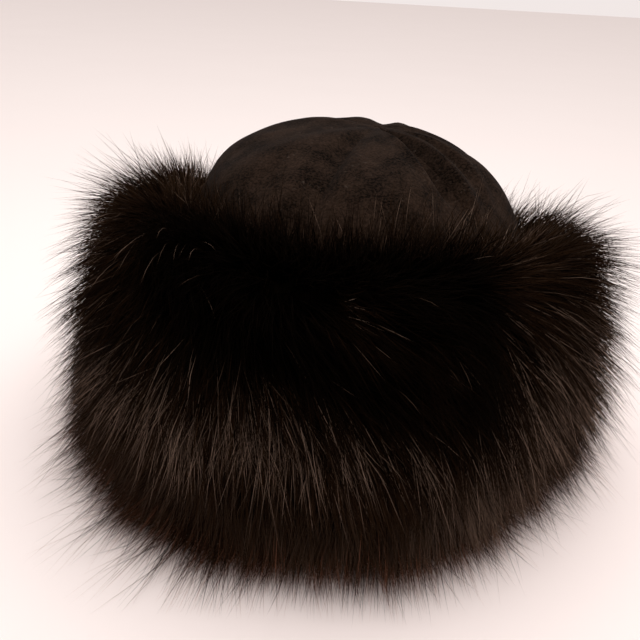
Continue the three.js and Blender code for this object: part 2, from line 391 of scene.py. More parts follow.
def crown_swell(turn, fall):
    """How far the suede stands off the dome.

    Each gore puffs out by an arch between its seams, and less beside the seam that lies flat. The folds
    are taken off, the ripples are added, and each seam has its groove between two low rolls.
    """
    gore = ((turn - first_seam_turn) % gore_turn) / gore_turn
    off_soft_seam = wrapped(turn - soft_seam_turn) / soft_seam_reach
    tight = 1 - soft_seam_share * np.exp(-(off_soft_seam**2))
    arch = (np.sin(math.pi * gore) - seam_sink) * tight
    swell = eased(fall, gore_puffs["fall"], gore_puffs["puff"]) * arch
    swell = swell - eased(fall, gore_puffs["fall"], gore_puffs["dip"])
    folds = fold_depth(turn, fall, crown_folds) + fold_depth(turn, fall, small_folds)
    swell = swell - folds * smooth(fall / fold_start)
    swell = swell + ripple(turn, fall, **suede_ripple) * smooth(fall / ripple_start)
    wide = np.sin(np.clip(fall / dome_share, least_share, 1) * math.pi / 2)
    off_seam = np.minimum(gore, 1 - gore) * gore_turn * wide
    roll = roll_height * np.exp(-(((off_seam - roll_middle) / roll_half) ** 2))
    groove = groove_depth * np.exp(-((off_seam / groove_half) ** 2))
    return swell + (roll - groove) * tight


def crown_point(turn, fall, inset):
    """A point of the suede, so far inside its outer face."""
    return dome_point(turn, fall) + dome_normal(turn, fall) * (crown_swell(turn, fall) - inset)[..., None]


def grid_faces(count, around, closed):
    """Triangles of a grid with so many rows, where row i holds around points, joined round if closed."""
    i = np.arange(count - 1)[:, None]
    j = np.arange(around if closed else around - 1)[None, :]
    a = i * around + j
    b = i * around + (j + 1) % around
    c = a + around
    d = b + around
    return np.concatenate([np.stack([a, d, b], -1).reshape(-1, 3), np.stack([a, c, d], -1).reshape(-1, 3)])


def add_mesh(name, points, faces, material, uv=None):
    """A smooth mesh object from arrays of points and triangles, with a UV pair for each point if given."""
    data = bpy.data.meshes.new(name)
    data.vertices.add(len(points))
    data.vertices.foreach_set("co", np.asarray(points, np.float32).ravel())
    data.loops.add(faces.size)
    data.loops.foreach_set("vertex_index", faces.astype(np.int32).ravel())
    data.polygons.add(len(faces))
    data.polygons.foreach_set("loop_start", np.arange(0, faces.size, 3, dtype=np.int32))
    data.polygons.foreach_set("loop_total", np.full(len(faces), 3, np.int32))
    data.update(calc_edges=True)
    data.polygons.foreach_set("use_smooth", np.ones(len(faces), bool))
    if uv is not None:
        layer = data.uv_layers.new(name="OFBake")
        layer.data.foreach_set("uv", np.asarray(uv, np.float32)[faces.ravel()].ravel())
    data.materials.append(material)
    piece = bpy.data.objects.new(name, data)
    scene.collection.objects.link(piece)
    return piece


# napped suede: clouds where the nap was brushed both ways, over its fine grain, and a few pale flecks
suede_dark = (0.0018, 0.0008, 0.0003, 1)
suede_light = (0.0274, 0.0166, 0.0113, 1)
suede_fleck = (0.055, 0.043, 0.035, 1)
nap_depth = 0.0010
suede_material, suede_shader, suede_nodes = new_material("napped_suede", roughness=0.95, shine=0.02)
suede_place = suede_nodes.made("Object", "TexCoord")
brushed = suede_place.noise(scale=110, detail=4, roughness=0.65)
cloudy = suede_place.noise(scale=62, detail=2, roughness=0.5)
nap = suede_place.noise(scale=800, detail=3, roughness=0.7)
fleck = suede_place.noise(scale=420, detail=2, roughness=0.6, stretch=(1, 1, 0.35))
suede_tone = (0.4 * brushed + 0.6 * cloudy).ramp((0.42, 0.0), (0.62, 1.0))
suede_tone = (0.5 * suede_tone + 0.5 * nap.ramp((0.42, 0.0), (0.58, 1.0))).clamp()
suede_colour = suede_tone.mix(suede_dark, suede_light)
suede_colour = fleck.ramp((0.64, 0.0), (0.78, 0.5)).mix(suede_colour, suede_fleck)
feed(suede_shader, "Base Color", suede_colour)
suede_shader.inputs["Sheen Weight"].default_value = 0.012
suede_shader.inputs["Sheen Roughness"].default_value = 0.5
feed_bump(suede_shader, 0.6 * nap + 0.4 * brushed, strength=0.8, distance=nap_depth)

# a gore's grid: rows of points round its wall, crowded at the tip, fine to just under the shoulder and
# then evenly down to the edge
gore_columns = 40
gore_rows = 72
tip_fall = 0.0003
tip_crowding = 1.15
fine_end = dome_share + 0.06
fine_stretch = 1.12
wall_edge_angle = math.radians(50)
for index, name in enumerate(gores):
    seam = first_seam_turn + index * gore_turn
    fine = np.linspace(0, 1, gore_rows + 1) * fine_stretch
    fall = tip_fall + (fine_end - tip_fall) * np.minimum(fine, 1) ** tip_crowding
    fall = np.where(fine > 1, fine_end + (fine - 1) / (fine_stretch - 1) * (1 - fine_end), fall)
    reach = np.sin(np.clip(fall / dome_share, 0, 1) * math.pi / 2) ** (2 / dome_squareness)
    margin = np.degrees(seam_gap / 2 / (crown_half_width * reach))
    across = np.linspace(0, 1, gore_columns + 1)
    turn = seam + margin[:, None] + (gore_turn - 2 * margin[:, None]) * across[None, :]
    fall_grid = np.broadcast_to(fall[:, None], turn.shape)
    outer = crown_point(turn, fall_grid, 0)
    inner = crown_point(turn, fall_grid, suede_thickness)[:, ::-1]
    rings = np.concatenate([outer, inner], axis=1)
    around = rings.shape[1]
    j = np.arange(around // 2 - 1)
    tip_end = [np.stack([j, j + 1, around - 2 - j], -1), np.stack([j, around - 2 - j, around - 1 - j], -1)]
    tip_end = np.concatenate(tip_end)
    low_end = tip_end[:, ::-1] + (len(fall) - 1) * around
    faces = np.concatenate([grid_faces(len(fall), around, True), tip_end, low_end])
    gore = add_mesh("suede_" + name, rings.reshape(-1, 3), faces, suede_material)
    gore.data.set_sharp_from_angle(angle=wall_edge_angle)
    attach(gore, "root")
    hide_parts(name)

# The brim's pelt and underwool: one roll of dyed fox skin round the crown, wool side out, so dense and
# dark that no skin shows; its near-black colour is also painted shade, for the depth among the hairs. It is
# pressed flat where it lies on the ground, and the long hair grows from it.
brim_gap = 0.0004
brim_turns = [-180, -125, -90, -50, 0, 50, 90, 125, 180]
brim_ridges = [0.104, 0.112, 0.138, 0.140, 0.141, 0.136, 0.122, 0.106, 0.104]
brim_reaches = [0.058, 0.064, 0.070, 0.072, 0.066, 0.053, 0.058, 0.058, 0.058]
# from the ground over the belly and the ridge to the crown: shares of the reach and of the ridge
outline_out = np.array([0.78, 0.94, 1.00, 0.96, 0.85, 0.67, 0.40, 0.15, 0.0])
outline_up = np.array([0.0, 0.10, 0.26, 0.46, 0.70, 0.90, 1.00, 0.97, 0.87])
wool_depth = 0.023
# how much shorter the fur is, and fuller its wool, behind and on the side of the crown
short_behind = 0.009
behind_turn = 100
behind_ease = 40
short_inside = 0.018
inside_at = 0.78
inside_ease = 0.18
# and over the two horns and along the streaked band in front: turn, place up the outline, half width and
# half height, how much
short_places = [
    (84, 0.80, 26, 0.16, 0.011),
    (-52, 0.76, 24, 0.14, 0.010),
    (-6, 0.43, 42, 0.09, 0.009),
]
wool_columns = 220
wool_rows = 54
# the wool's lumps: big ones where two waves meet, and small ones. Each wave has its count round the hat
# and its radians up the outline
big_lumps = 0.0016
small_lumps = 0.0012
lump_waves = [(31, 9), (13, -37), (53, 61)]
lumps_start = 0.125
wool_shade_black = (0.0012, 0.0007, 0.0004, 1)
wool_brown = (0.004, 0.0025, 0.0016, 1)
wool_tuft_depth = 0.002


def through(values, at):
    """A Catmull-Rom curve through evenly spaced values, read at 0 to 1."""
    padded = np.concatenate([[2 * values[0] - values[1]], values, [2 * values[-1] - values[-2]]])
    span = np.clip(at, 0, 1) * (len(values) - 1)
    first = np.clip(span.astype(int), 0, len(values) - 2)
    t = span - first
    a, b, c, d = (padded[first + k] for k in range(4))
    return b + 0.5 * t * (c - a + t * (2 * a - 5 * b + 4 * c - d + t * (3 * (b - c) + d - a)))


def bell(turn, at, row_turn, row_at, half_turn, half_at):
    """1 at a row's place on the fur, and exp(-x² - y²) at x half widths aside and y half heights up."""
    across = wrapped(turn - row_turn) / half_turn
    along = (at - row_at) / half_at
    return np.exp(-across * across - along * along)


def wall_normal(turn):
    """The outward normal of the crown's oval wall: each direction over its half width, at length 1."""
    angle = np.radians(turn)
    x = np.sin(angle) / crown_half_width
    y = -np.cos(angle) / crown_half_depth
    normal = np.stack([x, y, 0 * angle], axis=-1)
    return normal / np.linalg.norm(normal, axis=-1, keepdims=True)


def brim_point(turn, out, up):
    """The point at a height up, and so far out from the crown's oval wall, along the wall's normal."""
    angle = np.radians(turn)
    x = crown_half_width * np.sin(angle) + head_middle[0]
    y = -crown_half_depth * np.cos(angle) + head_middle[1]
    return np.stack([x, y, up + 0 * x], axis=-1) + wall_normal(turn) * np.asarray(out)[..., None]


def wool_point(turn, at, inset):
    """A point of the fur's form, shrunk by inset: its outline, scaled to the reach and ridge at a turn."""
    reach = eased(wrapped(turn), brim_turns, brim_reaches) - inset
    ridge = eased(wrapped(turn), brim_turns, brim_ridges) - inset
    return brim_point(turn, brim_gap + through(outline_out, at) * reach, through(outline_up, at) * ridge)


def shorter(turn, at):
    """How much shorter the fur is at a place, in metres. The wool rises by as much, to keep the form."""
    behind = short_behind * smooth((np.abs(wrapped(turn)) - behind_turn) / behind_ease)
    inside = short_inside * smooth((at - inside_at) / inside_ease)
    most = np.maximum(behind, inside)
    for *place, row_short in short_places:
        most = np.maximum(most, row_short * bell(turn, at, *place))
    return most


wool_material, wool_shader, wool_nodes = new_material("dark_underwool", roughness=1.0, shine=0.0)
wool_tufts = wool_nodes.made("Object", "TexCoord").noise(scale=260, detail=3, roughness=0.6)
# the wool is painted nearly black, as painted shade deep among the hairs, with brown tufts over it
feed(wool_shader, "Base Color", wool_tufts.mix(wool_shade_black, wool_brown))
feed_bump(wool_shader, wool_tufts, strength=0.6, distance=wool_tuft_depth)

# the lumps are sines of the turn and the place up the outline, and the flat foot has none
turn = np.linspace(-180, 180, wool_columns, endpoint=False)[:, None] + np.zeros((1, wool_rows))
at = np.linspace(0, 1, wool_rows)[None, :] + 0 * turn
waves = [np.sin(np.radians(turn) * around + upward * at) for around, upward in lump_waves]
lumps = big_lumps * waves[0] * waves[1] + small_lumps * waves[2]
wool_grid = wool_point(turn, at, wool_depth - shorter(turn, at) - lumps * smooth(at / lumps_start))
foot = brim_point(turn[:, :1], brim_gap + 0 * turn[:, :1], 0)
wool_grid = np.concatenate([wool_grid, foot], axis=1)
# the last column joins the first, and each column closes on itself under the fur
first = np.arange(wool_rows + 1)
last = first + (wool_columns - 1) * (wool_rows + 1)
after_first = np.roll(first, -1)
after_last = np.roll(last, -1)
closing = [np.stack([last, after_first, after_last], -1), np.stack([last, first, after_first], -1)]
wool_faces = np.concatenate([grid_faces(wool_columns, wool_rows + 1, True), *closing])
underwool = add_mesh("fur_underwool", wool_grid.reshape(-1, 3), wool_faces, wool_material)
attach(underwool, "root")
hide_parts("fur_brim")

# The long hair: dyed black-brown fox, 4 to 5 cm long, in fine clumps that taper to points. Up on the
# ridge it stands up and outwards, and lower down it droops over the ground. In front it was combed
# sideways by hand, towards the wearer's left, so it lies in tufts there.
hair_lay = {
    "at": [0, 0.06, 0.16, 0.27, 0.36, 0.46, 0.56, 0.66, 0.76, 0.88, 1.0],
    "pitch": [-12, -42, -60, -60, -52, -40, -12, 20, 52, 80, 98],
    "droop": [6, 12, 18, 24, 28, 30, 30, 26, 18, 8, 2],
    "length": [0.030, 0.031, 0.033, 0.035, 0.036, 0.036, 0.036, 0.037, 0.037, 0.040, 0.042],
}
# where the hand has laid it: turn, place up the outline, pitch, degrees aside towards +X, share of length
combed_lay = np.array([
    (-12, 0.42, -50, 46, 0.96),
    (-24, 0.40, -62, 28, 0.96),
    (-34, 0.38, -66, -5, 1.0),
    (-44, 0.30, -58, -25, 1.0),
    (-58, 0.16, -54, -10, 1.05),
    (-42, 0.15, -50, -6, 1.9),
    (-28, 0.13, -46, 0, 2.05),
    (0, 0.14, -60, 0, 1.1),
    (20, 0.14, -66, 5, 0.85),
    (34, 0.14, -60, 8, 1.5),
    (50, 0.14, -62, 8, 1.1),
    (32, 0.28, -66, 14, 0.95),
    (60, 0.28, -60, 10, 1.1),
    (-33, 0.48, -54, 6, 0.97),
    (-42, 0.48, -46, -25, 0.98),
    (-28, 0.50, -50, 35, 0.94),
    (-18, 0.51, -41, 52, 0.96),
    (-8, 0.50, -36, 54, 0.96),
    (0, 0.44, -46, 50, 0.96),
    (1, 0.48, -15, 70, 1.0),
    (-4, 0.57, 0, 66, 1.0),
    (-14, 0.57, -18, 56, 1.0),
    (-22, 0.57, -28, 48, 1.0),
    (-30, 0.58, -32, 42, 1.0),
    (-36, 0.58, -40, 8, 1.0),
    (-37, 0.56, -36, -35, 1.0),
    (-50, 0.48, -50, -44, 0.78),
    (-66, 0.45, -52, -20, 0.85),
    (-60, 0.34, -60, -10, 0.95),
    (-42, 0.61, -2, 58, 1.0),
    (-4, 0.64, 22, 66, 1.0),
    (-5, 0.73, 30, 44, 1.0),
    (-8, 0.85, 66, 20, 1.05),
    (-30, 0.86, 66, 10, 1.05),
    (17, 0.86, 66, 20, 1.1),
    (-8, 0.96, 84, 0, 0.92),
    (-30, 0.96, 84, 0, 0.92),
    (-48, 0.74, 14, 56, 0.95),
    (-62, 0.70, 6, 30, 0.95),
    (-60, 0.62, -14, 30, 0.85),
    (-67, 0.60, -8, -30, 1.0),
    (-74, 0.76, 10, -10, 1.35),
    (-80, 0.54, -36, -20, 0.55),
    (-90, 0.48, -36, -10, 0.75),
    (18, 0.75, 24, 40, 1.0),
    (30, 0.78, 10, 36, 1.0),
    (48, 0.78, 26, 56, 1.0),
    (25, 0.70, -30, 0, 1.0),
    (31, 0.67, -34, 40, 1.0),
    (34, 0.62, -48, 16, 1.0),
    (28, 0.57, -52, 24, 1.0),
    (26, 0.52, -55, 8, 0.97),
    (12, 0.46, -58, 8, 0.98),
    (20, 0.42, -61, -2, 0.98),
    (28, 0.42, -58, 30, 1.0),
    (48, 0.46, -48, 30, 1.1),
    (50, 0.35, -55, 40, 1.1),
    (55, 0.88, 56, 20, 0.70),
    (76, 0.92, 36, -10, 0.50),
    (94, 0.93, 36, 0, 0.36),
    (70, 0.84, 40, 10, 0.8),
    (-70, 0.90, 85, 0, 0.8),
    (-92, 0.92, 90, 0, 0.8),
    (64, 0.76, 22, 20, 1.45),
    (82, 0.74, 14, 0, 1.2),
    (95, 0.80, 34, 0, 1.2),
    (78, 0.84, 26, 10, 1.5),
    (-85, 0.64, 2, -10, 0.95),
    (-85, 0.73, 26, 0, 1.1),
    (-95, 0.80, 52, 0, 1.0),
])
# where the painted shade of the black front ends below, at places round the hat
painted_black_edge = {
    "turn": [-60, -46, -34, -23, -8, -2, 6, 18, 28],
    "at": [0.75, 0.66, 0.60, 0.58, 0.53, 0.49, 0.485, 0.485, 0.49],
}
# turn, place up the outline, half width and half height of each brown tuft, share of brown, which takes off
# that much of the painted shade
brown_tufts = [
    (-6, 0.67, 4, 0.035, 0.85),
    (5, 0.60, 6, 0.02, 0.45),
    (8, 0.53, 6, 0.04, 0.50),
]
# painted light and shade on the hair, patch by patch: a painted highlight band across the front, painted
# shade on parts of the horns, and lighter places where the light falls. Each row: turn, place, half width
# and half height of a patch, what its hair has more of tone, and of pale hairs
lit_and_shaded_places = [
    (-46, 0.64, 12, 0.10, -0.06, -0.08),
    (-66, 0.40, 20, 0.08, 0.04, 0.02),
    (-35, 0.46, 11, 0.055, 0.14, 0.25),
    (-22, 0.50, 8, 0.04, 0.00, -0.08),
    (-11, 0.435, 16, 0.045, 0.11, 0.29),
    (-52, 0.55, 14, 0.07, -0.20, -0.14),
    (-32, 0.66, 10, 0.08, -0.12, -0.14),
    (-36, 0.32, 24, 0.09, 0.24, -0.10),
    (-4, 0.30, 14, 0.09, 0.16, -0.10),
    (8, 0.25, 8, 0.06, 0.04, -0.10),
    (26, 0.26, 14, 0.10, 0.34, 0.06),
    (0, 0.02, 180, 0.07, 0.10, 0.00),
    (14, 0.50, 12, 0.05, -0.12, -0.08),
    (16, 0.37, 14, 0.06, 0.20, 0.10),
    (4, 0.40, 5, 0.06, -0.12, 0.00),
    (36, 0.44, 14, 0.10, 0.12, 0.10),
    (36, 0.30, 16, 0.08, 0.10, 0.00),
    (50, 0.52, 14, 0.07, 0.08, 0.06),
    (66, 0.60, 10, 0.06, 0.06, 0.04),
    (45, 0.69, 14, 0.09, -0.10, -0.08),
    (34, 0.80, 16, 0.09, 0.04, -0.13),
    (-66, 0.84, 24, 0.16, 0.11, -0.14),
    (-8, 0.98, 44, 0.06, 0.08, -0.10),
    (76, 0.84, 30, 0.14, 0.14, -0.14),
]
# turn, place, half width and half height of a patch, and how much calmer in tone (with fewer painted
# highlights), wilder in its lie and finer its hair is
texture_places = [
    (66, 0.80, 30, 0.16, 0.75, 0.20, 0.30),
    (-62, 0.80, 22, 0.16, 0.65, 0.20, 0.30),
    (0, 0.98, 70, 0.09, 0.60, 0.10, 0.40),
    (-52, 0.64, 14, 0.08, 0.40, 0.00, 0.15),
    (34, 0.80, 16, 0.10, 0.60, 0.10, 0.20),
    (-38, 0.50, 14, 0.06, 0.00, 0.22, 0.15),
    (-12, 0.46, 18, 0.06, 0.00, 0.22, 0.15),
    (20, 0.42, 18, 0.06, 0.00, 0.16, 0.10),
]
# the low front is calm in tone all along, with fewer painted highlights: below which place, up to which
# turn, and how much
calm_below = 0.46
calm_ease = 0.06
calm_front = 70
calm_front_ease = 25
calm_share = 0.9
# how softly the painted black shade of the front ends below and at its two sides, and how it fades over the
# ridge
black_ease = 0.06
black_left_ease = 14
black_right_ease = 8
ridge_at = 0.84
ridge_ease = 0.09
ridge_fade = 0.7
# how far a combed row reaches, how much the plain lay still counts, and how tufts differ, in degrees
lay_reach_turn = 11
lay_reach_at = 0.06
uncombed_share = 0.12
pitch_ripple = {"seed": 7, "slow": 14, "fine": 24}
aside_ripple = {"seed": 9, "slow": 22, "fine": 42}
root_depth = wool_depth + 0.002
# a hair that droops starts higher, by droop_lead of its droop, and gathers early to its clump; it bows
# a little, is cut back at the hair's limits, and lies in a thin pile where it reaches the ground
droop_lead = 0.55
droop_share = 0.8
steepest_droop = 65
gather_early = 0.8
hair_bow = 0.0012
most_cut = 0.6
ground_gap = 0.0005
ground_pile = 0.004
hair_sides = 3
# a hair's blade is turned about its course from the wall's normal, tipped up a little
side_rise = 0.3
least_side = 1e-6
hair_overhang = 0.009
hair_limit = np.array([cad_low, cad_high]) + np.array([[-hair_overhang], [hair_overhang]])
hair_seed = np.random.default_rng(31)
# on its UV map a hair is a narrow strip at the height of its tone
tone_limits = (0.02, 0.98)
map_margin = 0.02
strip_half = 0.006
cap_corner = 0.03


def tuft_ripple(turn, at, seed, slow, fine):
    """Degrees that tufts lie apart from their neighbours: a slow ripple, and one three times as fine."""
    slow_upward = 1.6
    fine_upward = 4
    finer_around = 3
    slow_part = ripple(turn, at * slow_upward, seed, slow)
    return slow_part + ripple(turn * finer_around, at * fine_upward, seed + 1, fine)


def lay_at(turn, at):
    """Pitch and sideways angle of the hair at a place in degrees, and its share of the plain length.

    Each combed row counts by a bell over its distance, and the plain lay counts everywhere by a small
    fixed share. Ripples keep the tufts from lying alike.
    """
    pitch = np.interp(at, hair_lay["at"], hair_lay["pitch"]) * uncombed_share
    aside = np.zeros_like(turn)
    size = np.full_like(turn, uncombed_share)
    weights = np.full_like(turn, uncombed_share)
    for row_turn, row_at, row_pitch, row_aside, row_size in combed_lay:
        weight = bell(turn, at, row_turn, row_at, lay_reach_turn, lay_reach_at)
        pitch = pitch + weight * row_pitch
        aside = aside + weight * row_aside
        size = size + weight * row_size
        weights = weights + weight
    pitch = pitch / weights + tuft_ripple(turn, at, **pitch_ripple)
    aside = aside / weights + tuft_ripple(turn, at, **aside_ripple)
    return pitch, aside, size / weights


def painted_shade_at(turn, at):
    """How much painted shade darkens the hair, from 0 to 1: black over the upper front, where the hair is
    seen end on, browner below and at the sides.

    The painted black ends below at a line that falls towards +X, and a few brown tufts are left in it.
    """
    here = wrapped(turn)
    low = np.interp(here, painted_black_edge["turn"], painted_black_edge["at"])
    front = smooth((here - painted_black_edge["turn"][0]) / black_left_ease)
    front = front * smooth((painted_black_edge["turn"][-1] - here) / black_right_ease)
    ridge = 1 - ridge_fade * smooth((at - ridge_at) / ridge_ease)
    shade = front * smooth((at - low) / black_ease + 0.5) * ridge
    for *place, brown in brown_tufts:
        shade = shade * (1 - brown * bell(turn, at, *place))
    return shade


def lit_and_shaded_at(turn, at):
    """By place: what painted light and shade add to the tone of all hair, and to the share of pale hair."""
    tone = 0 * turn
    pale = 0 * turn
    for *place, row_tone, row_pale in lit_and_shaded_places:
        weight = bell(turn, at, *place)
        tone = tone + weight * row_tone
        pale = pale + weight * row_pale
    return tone, pale


def texture_at(turn, at):
    """By place: how much calmer in tone, wilder in its lie and finer the hair is, each from 0 to 1.

    The low front is calm all along.
    """
    calmer = calm_share * smooth((calm_below - at) / calm_ease)
    calmer = calmer * smooth((calm_front - np.abs(wrapped(turn))) / calm_front_ease)
    wilder = 0 * turn
    finer = 0 * turn
    for *place, row_calmer, row_wilder, row_finer in texture_places:
        weight = bell(turn, at, *place)
        calmer = np.maximum(calmer, weight * row_calmer)
        wilder = np.maximum(wilder, weight * row_wilder)
        finer = np.maximum(finer, weight * row_finer)
    return calmer, wilder, finer


def scatter_roots(count, front_share):
    """So many (turn, at) places, spread evenly over the fur's area, and denser in front by front_share."""
    turn_cells = 360
    at_cells = 120
    turn_edges = np.linspace(-180, 180, turn_cells + 1)
    at_edges = np.linspace(0, 1, at_cells + 1)
    corner = wool_point(turn_edges[:, None] + 0 * at_edges, at_edges + 0 * turn_edges[:, None], wool_depth)
    wide = np.linalg.norm(np.diff(corner, axis=0), axis=-1)[:, :-1]
    tall = np.linalg.norm(np.diff(corner, axis=1), axis=-1)[:-1]
    middle = np.radians(turn_edges[:-1] + 0.5)[:, None]
    sums = np.cumsum(wide * tall * (1 + front_share * np.cos(middle)))
    picks = (np.arange(count) + hair_seed.uniform(0, 1, count)) / count * sums[-1]
    cell = np.minimum(np.searchsorted(sums, picks), len(sums) - 1)
    turn = turn_edges[cell // at_cells] + hair_seed.uniform(0, 1, count)
    at = at_edges[cell % at_cells] + hair_seed.uniform(0, 1, count) / at_cells
    return turn, at


def hair_lines(hairs, along):
    """The points at these shares along each hair, from root to tip.

    A hair follows its clump's course from its own root: a straight line that droops by its square. It
    moves towards the clump's middle by gather, and strays at random. It is cut back where it would leave
    the hair's limits, and lies on the ground where it gets there.
    """
    clump_turn = hairs["clump_turn"]
    clump_at = hairs["clump_at"]
    count = len(clump_turn)
    up = np.array([0, 0, 1.0])
    root = wool_point(hairs["turn"], hairs["at"], root_depth - shorter(hairs["turn"], hairs["at"]))
    clump_root = wool_point(clump_turn, clump_at, root_depth - shorter(clump_turn, clump_at))
    outward = wall_normal(clump_turn)
    aside = np.cross(up, outward)
    pitch, sideways, size = lay_at(clump_turn, clump_at)
    length = hairs["length"] * size - shorter(clump_turn, clump_at)
    droop = np.interp(clump_at, hair_lay["at"], hair_lay["droop"]) * hairs["sag"]
    start = np.radians(pitch + droop / np.maximum(hairs["sag"], 1) * droop_lead + hairs["lift"])
    sway = np.radians(sideways)
    ahead = outward * np.cos(sway)[:, None] + aside * np.sin(sway)[:, None]
    course = ahead * np.cos(start)[:, None] + up * np.sin(start)[:, None]
    stray = (hairs["stray"] + np.zeros(count))[:, None]
    course = course + stray * hair_seed.normal(0, 1, (count, 3))
    course = course / np.linalg.norm(course, axis=-1, keepdims=True)
    fall = -up * (np.tan(np.radians(np.minimum(droop, steepest_droop))) * droop_share)[:, None]
    share = np.array(along)[None, :, None]
    line = clump_root[:, None] + (course[:, None] * share + fall[:, None] * share**2) * length[:, None, None]
    spread = 1 - hairs["gather"][:, None, None] * share**gather_early
    line = line + (root - clump_root)[:, None] * spread
    line = line + hair_seed.normal(0, hair_bow, (count, 1, 3)) * np.sin(math.pi * share)
    over = np.maximum(line - hair_limit[1], hair_limit[0] - line).max(axis=(1, 2))
    kept = 1 - np.clip(over / length, 0, most_cut)
    line = root[:, None] + (line - root[:, None]) * kept[:, None, None]
    lowest = ground_gap + hair_seed.uniform(0, ground_pile, (count, 1)) * share[..., 0]
    line[..., 2] = np.maximum(line[..., 2], lowest)
    return line


def grow_hair(name, material, rings, hairs):
    """A piece of hair, each strand a tapered blade of three sides with a point, on its own line.

    rings has the places of the rings along a hair, the last of them its point, and their share of its
    full width. hairs has its measures, one value for each hair. Hair that states no clump grows singly.
    The UV map has the place along the hair in u and its tone in v, and opens the cap at its root.
    """
    single = {"clump_turn": hairs["turn"], "clump_at": hairs["at"], "gather": 0 * hairs["turn"], "sag": 1}
    hairs = {**single, **hairs}
    along = rings["along"]
    line = hair_lines(hairs, along)
    count = len(line)
    bands = len(along) - 1
    course = np.gradient(line, axis=1)
    course = course / np.linalg.norm(course, axis=-1, keepdims=True)
    off_wall = wall_normal(hairs["clump_turn"])[:, None] + np.array([0, 0, side_rise])
    side = np.cross(course, off_wall)
    side = side / np.maximum(np.linalg.norm(side, axis=-1, keepdims=True), least_side)
    back = np.cross(side, course)
    corner = 2 * math.pi * np.arange(hair_sides) / hair_sides
    spin = (hair_seed.uniform(0, 2 * math.pi, (count, 1, 1)) + corner)[..., None]
    reach = side[:, :bands, None] * np.cos(spin) + back[:, :bands, None] * np.sin(spin)
    width = np.array(rings["width"])[None, :, None, None] * hairs["width"][:, None, None, None]
    ring_points = (line[:, :bands, None] + reach * width / 2).reshape(count, -1, 3)
    points = np.concatenate([ring_points, line[:, bands:]], axis=1)
    each = hair_sides * bands + 1
    pattern = [(2, 1, 0)]
    for band in range(bands - 1):
        for k in range(hair_sides):
            a = band * hair_sides + k
            b = band * hair_sides + (k + 1) % hair_sides
            pattern += [(a, b, b + hair_sides), (a, b + hair_sides, a + hair_sides)]
    top = (bands - 1) * hair_sides
    pattern += [(top + k, top + (k + 1) % hair_sides, each - 1) for k in range(hair_sides)]
    faces = np.array(pattern)[None] + (np.arange(count) * each)[:, None, None]
    u = np.repeat(np.array(along), [hair_sides] * bands + [1])
    u[hair_sides - 1] = cap_corner
    u = np.tile(map_margin + (1 - 2 * map_margin) * u, (count, 1))
    v = np.append(np.tile(np.array([-strip_half, strip_half, 0.0]), bands), 0.0)
    uv = np.stack([u, hairs["tone"][:, None] + v[None]], axis=-1)
    piece = add_mesh(name, points.reshape(-1, 3), faces.reshape(-1, 3), material, uv.reshape(-1, 2))
    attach(piece, "root")
    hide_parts("fur_brim")


def read_hair_map(nodes):
    """The place along a hair and its tone, from the hair's UV map."""
    axes = nodes.add_node("SeparateXYZ", Vector=nodes.made("UV", "UVMap", {"uv_map": "OFBake"}))
    return Socket(nodes.tree, axes.outputs["X"]), Socket(nodes.tree, axes.outputs["Y"])


# a hair is painted dark at its root, as painted shade deep in the coat, and lightest before its tip; its
# tone goes from black over brown to pale, and the pale hairs carry a painted highlight band before their
# tips
black_root = (0.0010, 0.0006, 0.0003, 1)
black_tip = (0.0022, 0.0012, 0.0007, 1)
brown_root = (0.0046, 0.0020, 0.0008, 1)
brown_tip = (0.0310, 0.0150, 0.0068, 1)
pale_root = (0.0100, 0.0050, 0.0023, 1)
pale_tip = (0.3900, 0.2780, 0.2140, 1)
hair_material, hair_shader, hair_nodes = new_material("fox_hair_dye_and_painted_light", roughness=0.55, shine=0.01)
hair_along, hair_tone = read_hair_map(hair_nodes)
tip_light = hair_along.ramp((0.4, 0.0), (0.8, 0.7), (1.0, 1.0))
pale_light = hair_along.ramp((0.42, 0.0), (0.72, 0.75), (0.86, 1.0), (1.0, 0.3))
brown_hair = tip_light.mix(brown_root, brown_tip)
hair_colour = (hair_tone * 2).clamp().mix(tip_light.mix(black_root, black_tip), brown_hair)
hair_colour = (hair_tone * 2 - 1).clamp().mix(hair_colour, pale_light.mix(pale_root, pale_tip))
feed(hair_shader, "Base Color", hair_colour)

# the coat: how its hairs are spread in clumps that share a lie and a tone, how long and ragged they are
# all round and low down, how pale (the pale hairs are painted highlights), how thick, how gathered and how
# loose
coat_pieces = ["fur_hair_a", "fur_hair_b", "fur_hair_c", "fur_hair_d"]
coat_rings = {"along": (0, 0.46, 1), "width": (0.8, 0.9)}
coat_count = 18000
coat_clump = 10
coat_front_share = 0.3
clump_spread = 0.0032
girth_radius = 0.13
outline_length = 0.25
clump_length_spread = 0.14
coat_length = 0.95
coat_ragged = 0.22
low_ragged = 0.10
low_ragged_at = 0.32
low_ragged_ease = 0.2
low_cut = 0.18
low_cut_at = 0.30
low_cut_ease = 0.1
coat_tone = 0.34
clump_tone_spread = 0.13
coat_tone_spread = 0.09
pale_share = 0.14
pale_tones = (0.3, 0.95)
coat_painted_shade = 0.92
coat_widths = (0.00030, 0.00050)
pale_slimmer = 0.25
coat_gathers = (0.3, 0.8)
coat_lift_spread = 8
coat_stray = 0.12
inner_stray = 0.08
inner_stray_at = 0.78
inner_stray_ease = 0.12
